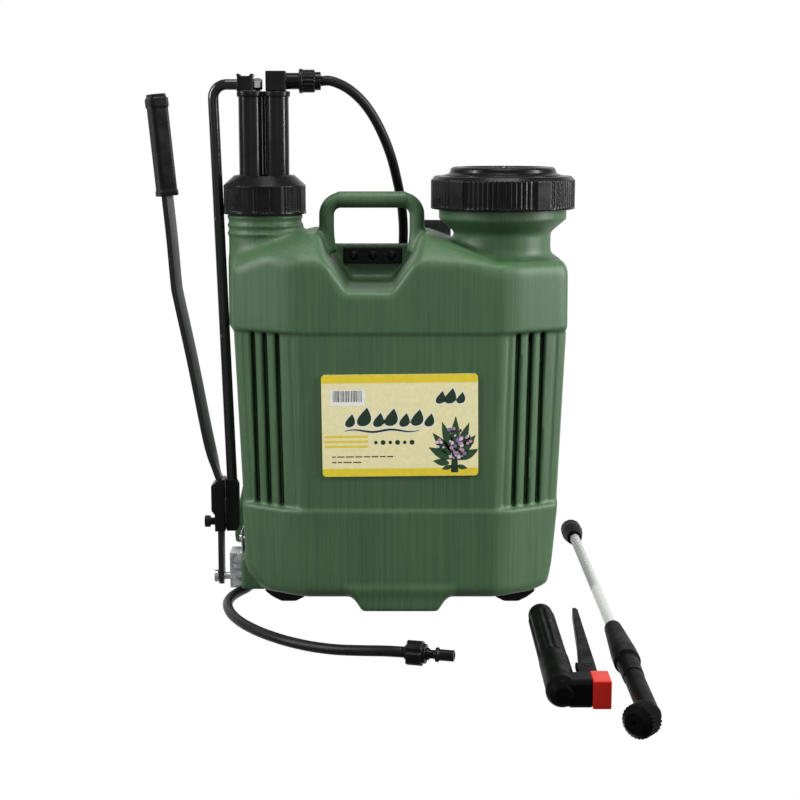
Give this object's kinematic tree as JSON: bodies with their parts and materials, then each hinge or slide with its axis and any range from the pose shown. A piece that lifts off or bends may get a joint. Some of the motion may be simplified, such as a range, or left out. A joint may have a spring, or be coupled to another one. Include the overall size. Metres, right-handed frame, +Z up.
{
  "type": "backpack sprayer",
  "caption": "Hand-pumped knapsack sprayer: moulded tank, side lever with twin-tube pump, screw lid, harness, free hose, shut-off valve and lance.",
  "frame": {"origin": "on the floor, at the middle of the foot under the tank", "axes": "+Z up, +Y towards the wearer, +X to the side of the filling mouth"},
  "size_m": [0.4223, 0.5717, 0.483],
  "materials": {
    "tank_green": "satin blow-moulded polyethylene",
    "label_film": "printed film with plain bands",
    "black_plastic": "satin moulded plastic",
    "rubber_seal": "smooth seal rubber",
    "hose_rubber": "smooth hose cover",
    "natural_plastic": "unpigmented tube",
    "bright_steel": "zinc-plated",
    "painted_steel": "black enamel",
    "red_plastic": "moulded",
    "grey_pipe": "pale grey coated tube",
    "webbing": "woven webbing",
    "pad_fabric": "foam pad in cloth"
  },
  "bodies": {
    "tank_body": {"tank": "tank_green", "label": "label_film", "pump_nut": "black_plastic", "pump_gasket": "rubber_seal", "pump_guide": "black_plastic", "pump_cylinder": "natural_plastic", "cylinder_foot": "black_plastic", "foot_valve_ball": "bright_steel", "suction_pipe": "natural_plastic", "suction_strainer": "black_plastic", "fill_strainer": "black_plastic", "left_skid": "black_plastic", "right_skid": "black_plastic", "axle": "bright_steel", "axle_bracket": "bright_steel", "bracket_screws": "bright_steel", "strap_anchor": "black_plastic", "strap_hooks": "black_plastic", "left_strap": "webbing", "right_strap": "webbing", "left_pad": "pad_fabric", "right_pad": "pad_fabric", "strap_buckles": "black_plastic", "hose_clips": "black_plastic", "hose": "hose_rubber", "hose_tail": "black_plastic", "valve_body": "black_plastic", "valve_grip": "black_plastic", "valve_cap": "red_plastic", "valve_spring": "bright_steel", "trigger_pin": "bright_steel", "lance_nut": "black_plastic", "lance_tube": "grey_pipe", "lance_handle": "black_plastic", "nozzle_elbow": "black_plastic", "nozzle_disc": "bright_steel"},
    "plunger_body": {"plunger": "black_plastic", "piston_seal": "rubber_seal", "air_chamber": "black_plastic", "plunger_head": "black_plastic", "outlet_elbow": "black_plastic", "outlet_nut": "black_plastic"},
    "rod_body": {"drive_rod": "painted_steel", "rod_nut": "bright_steel", "rod_foot": "black_plastic"},
    "lever_body": {"lever_bar": "painted_steel", "lever_hub": "black_plastic", "lever_pin": "black_plastic", "lever_grip": "black_plastic"},
    "lid_body": {"lid": "black_plastic", "lid_gasket": "rubber_seal", "vent_cap": "black_plastic"},
    "ring_body": {"lid_ring": "black_plastic"},
    "trigger_body": {"trigger": "black_plastic"},
    "stem_body": {"valve_stem": "bright_steel"},
    "nut_body": {"hose_nut": "black_plastic"},
    "nozzle_body": {"nozzle_cap": "black_plastic"}
  },
  "joints": [
    {"name": "lever_pivot", "type": "hinge", "parent": "tank_body", "child": "lever_body", "pos_m": [-0.169, 0.005, 0.011], "axis": [-1, 0, 0], "range_deg": [0, 90]},
    {"name": "plunger_slide", "type": "slide", "parent": "tank_body", "child": "plunger_body", "axis": [0, 0, 1], "range_m": [-0.0566, 0]},
    {"name": "rod_swing", "type": "hinge", "parent": "plunger_body", "child": "rod_body", "pos_m": [-0.1395, 0.005, 0.469], "axis": [1, 0, 0], "range_deg": [0, 7.6]},
    {"name": "lid_lift", "type": "slide", "parent": "tank_body", "child": "lid_body", "axis": [0, 0, 1], "range_m": [0, 0.06]},
    {"name": "lid_turn", "type": "hinge", "parent": "lid_body", "child": "ring_body", "pos_m": [0.0935, 0, 0.372], "axis": [0, 0, 1], "range_deg": [0, 450]},
    {"name": "trigger_pull", "type": "hinge", "parent": "tank_body", "child": "trigger_body", "pos_m": [0.144, -0.292, 0.013], "axis": [0, 0, 1], "range_deg": [0, 5], "stiffness_Nm_per_rad": 2, "springref_deg": -2.86},
    {"name": "stem_travel", "type": "slide", "parent": "tank_body", "child": "stem_body", "axis": [1, 0, 0], "range_m": [0, 0.003]},
    {"name": "hose_nut_turn", "type": "hinge", "parent": "tank_body", "child": "nut_body", "pos_m": [0.004, -0.2215, 0.0106], "axis": [0.9703, -0.2419, 0], "continuous": true},
    {"name": "nozzle_turn", "type": "hinge", "parent": "tank_body", "child": "nozzle_body", "pos_m": [0.18, -0.371, 0.0132], "axis": [-0.6157, -0.788, 0], "range_deg": [-180, 180]}
  ],
  "couplings": [
    {"joint": "plunger_slide", "follows": "lever_pivot", "m_per_rad": -0.035958},
    {"joint": "rod_swing", "follows": "lever_pivot", "ratio": 0.08355},
    {"joint": "stem_travel", "follows": "trigger_pull", "m_per_rad": 0.026}
  ]
}
